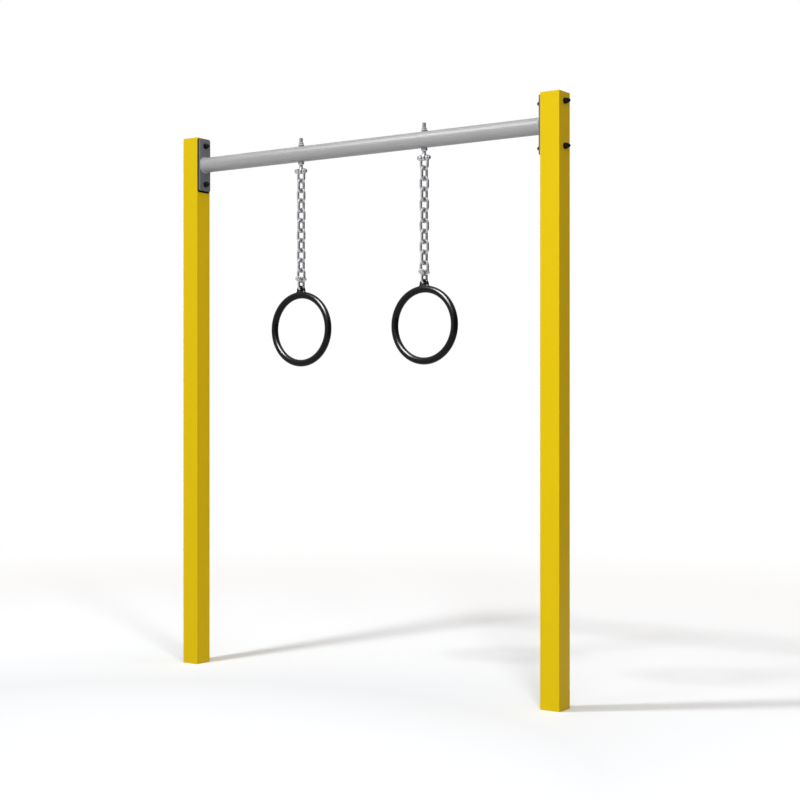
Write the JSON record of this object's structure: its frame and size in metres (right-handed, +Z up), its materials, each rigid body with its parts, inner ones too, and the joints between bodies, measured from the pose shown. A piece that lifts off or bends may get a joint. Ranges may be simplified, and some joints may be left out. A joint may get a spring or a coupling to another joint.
{
  "type": "gymnastic rings frame",
  "caption": "Outdoor gymnastic rings frame: square posts, a round crossbar bolted between them, and hand rings that hang from it on chains with shackles.",
  "frame": {"origin": "on the ground, midway between the two posts", "axes": "+X along the crossbar towards the right-hand post, +Y level and square to it, away from the side that is the front here, +Z up"},
  "size_m": [1.8886, 0.08, 2.25],
  "materials": {
    "post_paint": "yellow powder coat, satin",
    "bar_paint": "grey powder coat, satin",
    "dome_plastic": "moulded black plastic",
    "ring_plastic": "moulded black plastic, glossy",
    "plated_steel": "zinc plated steel",
    "chain_steel": "galvanised steel chain"
  },
  "bodies": {
    "frame": {"left_post": "post_paint", "left_post_top_plate": "post_paint", "left_end_plate": "bar_paint", "right_post": "post_paint", "right_post_top_plate": "post_paint", "right_end_plate": "bar_paint", "crossbar": "bar_paint", "left_upper_plate_bolt": "plated_steel", "left_upper_plate_nut": "plated_steel", "left_upper_outer_dome": "dome_plastic", "left_upper_inner_dome": "dome_plastic", "left_lower_plate_bolt": "plated_steel", "left_lower_plate_nut": "plated_steel", "left_lower_outer_dome": "dome_plastic", "left_lower_inner_dome": "dome_plastic", "left_eyebolt": "plated_steel", "left_eyebolt_lock_nut": "plated_steel", "left_eyebolt_lower_nut": "plated_steel", "right_upper_plate_bolt": "plated_steel", "right_upper_plate_nut": "plated_steel", "right_upper_outer_dome": "dome_plastic", "right_upper_inner_dome": "dome_plastic", "right_lower_plate_bolt": "plated_steel", "right_lower_plate_nut": "plated_steel", "right_lower_outer_dome": "dome_plastic", "right_lower_inner_dome": "dome_plastic", "right_eyebolt": "plated_steel", "right_eyebolt_lock_nut": "plated_steel", "right_eyebolt_lower_nut": "plated_steel"},
    "left_upper_shackle": {"left_upper_shackle": "plated_steel", "left_upper_shackle_pin": "plated_steel"},
    "left_link_01": {"left_link_01": "chain_steel"},
    "left_link_02": {"left_link_02": "chain_steel"},
    "left_link_03": {"left_link_03": "chain_steel"},
    "left_link_04": {"left_link_04": "chain_steel"},
    "left_link_05": {"left_link_05": "chain_steel"},
    "left_link_06": {"left_link_06": "chain_steel"},
    "left_link_07": {"left_link_07": "chain_steel"},
    "left_link_08": {"left_link_08": "chain_steel"},
    "left_link_09": {"left_link_09": "chain_steel"},
    "left_link_10": {"left_link_10": "chain_steel"},
    "left_lower_shackle": {"left_lower_shackle": "plated_steel", "left_lower_shackle_pin": "plated_steel"},
    "left_ring": {"left_ring": "ring_plastic"},
    "right_upper_shackle": {"right_upper_shackle": "plated_steel", "right_upper_shackle_pin": "plated_steel"},
    "right_link_01": {"right_link_01": "chain_steel"},
    "right_link_02": {"right_link_02": "chain_steel"},
    "right_link_03": {"right_link_03": "chain_steel"},
    "right_link_04": {"right_link_04": "chain_steel"},
    "right_link_05": {"right_link_05": "chain_steel"},
    "right_link_06": {"right_link_06": "chain_steel"},
    "right_link_07": {"right_link_07": "chain_steel"},
    "right_link_08": {"right_link_08": "chain_steel"},
    "right_link_09": {"right_link_09": "chain_steel"},
    "right_link_10": {"right_link_10": "chain_steel"},
    "right_lower_shackle": {"right_lower_shackle": "plated_steel", "right_lower_shackle_pin": "plated_steel"},
    "right_ring": {"right_ring": "ring_plastic"}
  },
  "joints": [
    {"name": "left_upper_shackle_swing", "type": "hinge", "parent": "frame", "child": "left_upper_shackle", "pos_m": [-0.304, 0, 2.06445], "axis": [1, 0, 0], "range_deg": [-90, 90]},
    {"name": "left_link_01_swing", "type": "hinge", "parent": "left_upper_shackle", "child": "left_link_01", "pos_m": [-0.304, 0, 2.01945], "axis": [-1, 0, 0], "range_deg": [-90, 90]},
    {"name": "left_link_02_swing", "type": "hinge", "parent": "left_link_01", "child": "left_link_02", "pos_m": [-0.304, 0, 1.97875], "axis": [0, 1, 0], "range_deg": [-30, 30]},
    {"name": "left_link_03_swing", "type": "hinge", "parent": "left_link_02", "child": "left_link_03", "pos_m": [-0.304, 0, 1.93805], "axis": [1, 0, 0], "range_deg": [-90, 90]},
    {"name": "left_link_04_swing", "type": "hinge", "parent": "left_link_03", "child": "left_link_04", "pos_m": [-0.304, 0, 1.89735], "axis": [0, -1, 0], "range_deg": [-35, 35]},
    {"name": "left_link_05_swing", "type": "hinge", "parent": "left_link_04", "child": "left_link_05", "pos_m": [-0.304, 0, 1.85665], "axis": [-1, 0, 0], "range_deg": [-90, 90]},
    {"name": "left_link_06_swing", "type": "hinge", "parent": "left_link_05", "child": "left_link_06", "pos_m": [-0.304, 0, 1.81595], "axis": [0, 1, 0], "range_deg": [-60, 60]},
    {"name": "left_link_07_swing", "type": "hinge", "parent": "left_link_06", "child": "left_link_07", "pos_m": [-0.304, 0, 1.77525], "axis": [1, 0, 0], "range_deg": [-90, 90]},
    {"name": "left_link_08_swing", "type": "hinge", "parent": "left_link_07", "child": "left_link_08", "pos_m": [-0.304, 0, 1.73455], "axis": [0, -1, 0], "range_deg": [-90, 90]},
    {"name": "left_link_09_swing", "type": "hinge", "parent": "left_link_08", "child": "left_link_09", "pos_m": [-0.304, 0, 1.69385], "axis": [-1, 0, 0], "range_deg": [-90, 90]},
    {"name": "left_link_10_swing", "type": "hinge", "parent": "left_link_09", "child": "left_link_10", "pos_m": [-0.304, 0, 1.65315], "axis": [0, 1, 0], "range_deg": [-90, 90]},
    {"name": "left_lower_shackle_swing", "type": "hinge", "parent": "left_link_10", "child": "left_lower_shackle", "pos_m": [-0.304, 0, 1.62325], "axis": [0, -1, 0], "range_deg": [-90, 90]},
    {"name": "left_ring_swing", "type": "hinge", "parent": "left_lower_shackle", "child": "left_ring", "pos_m": [-0.304, 0, 1.57825], "axis": [0, 1, 0], "range_deg": [-75, 75]},
    {"name": "right_upper_shackle_swing", "type": "hinge", "parent": "frame", "child": "right_upper_shackle", "pos_m": [0.304, 0, 2.06445], "axis": [1, 0, 0], "range_deg": [-90, 90]},
    {"name": "right_link_01_swing", "type": "hinge", "parent": "right_upper_shackle", "child": "right_link_01", "pos_m": [0.304, 0, 2.01945], "axis": [-1, 0, 0], "range_deg": [-90, 90]},
    {"name": "right_link_02_swing", "type": "hinge", "parent": "right_link_01", "child": "right_link_02", "pos_m": [0.304, 0, 1.97875], "axis": [0, 1, 0], "range_deg": [-30, 30]},
    {"name": "right_link_03_swing", "type": "hinge", "parent": "right_link_02", "child": "right_link_03", "pos_m": [0.304, 0, 1.93805], "axis": [1, 0, 0], "range_deg": [-90, 90]},
    {"name": "right_link_04_swing", "type": "hinge", "parent": "right_link_03", "child": "right_link_04", "pos_m": [0.304, 0, 1.89735], "axis": [0, -1, 0], "range_deg": [-35, 35]},
    {"name": "right_link_05_swing", "type": "hinge", "parent": "right_link_04", "child": "right_link_05", "pos_m": [0.304, 0, 1.85665], "axis": [-1, 0, 0], "range_deg": [-90, 90]},
    {"name": "right_link_06_swing", "type": "hinge", "parent": "right_link_05", "child": "right_link_06", "pos_m": [0.304, 0, 1.81595], "axis": [0, 1, 0], "range_deg": [-60, 60]},
    {"name": "right_link_07_swing", "type": "hinge", "parent": "right_link_06", "child": "right_link_07", "pos_m": [0.304, 0, 1.77525], "axis": [1, 0, 0], "range_deg": [-90, 90]},
    {"name": "right_link_08_swing", "type": "hinge", "parent": "right_link_07", "child": "right_link_08", "pos_m": [0.304, 0, 1.73455], "axis": [0, -1, 0], "range_deg": [-90, 90]},
    {"name": "right_link_09_swing", "type": "hinge", "parent": "right_link_08", "child": "right_link_09", "pos_m": [0.304, 0, 1.69385], "axis": [-1, 0, 0], "range_deg": [-90, 90]},
    {"name": "right_link_10_swing", "type": "hinge", "parent": "right_link_09", "child": "right_link_10", "pos_m": [0.304, 0, 1.65315], "axis": [0, 1, 0], "range_deg": [-90, 90]},
    {"name": "right_lower_shackle_swing", "type": "hinge", "parent": "right_link_10", "child": "right_lower_shackle", "pos_m": [0.304, 0, 1.62325], "axis": [0, -1, 0], "range_deg": [-90, 90]},
    {"name": "right_ring_swing", "type": "hinge", "parent": "right_lower_shackle", "child": "right_ring", "pos_m": [0.304, 0, 1.57825], "axis": [0, 1, 0], "range_deg": [-75, 75]}
  ]
}
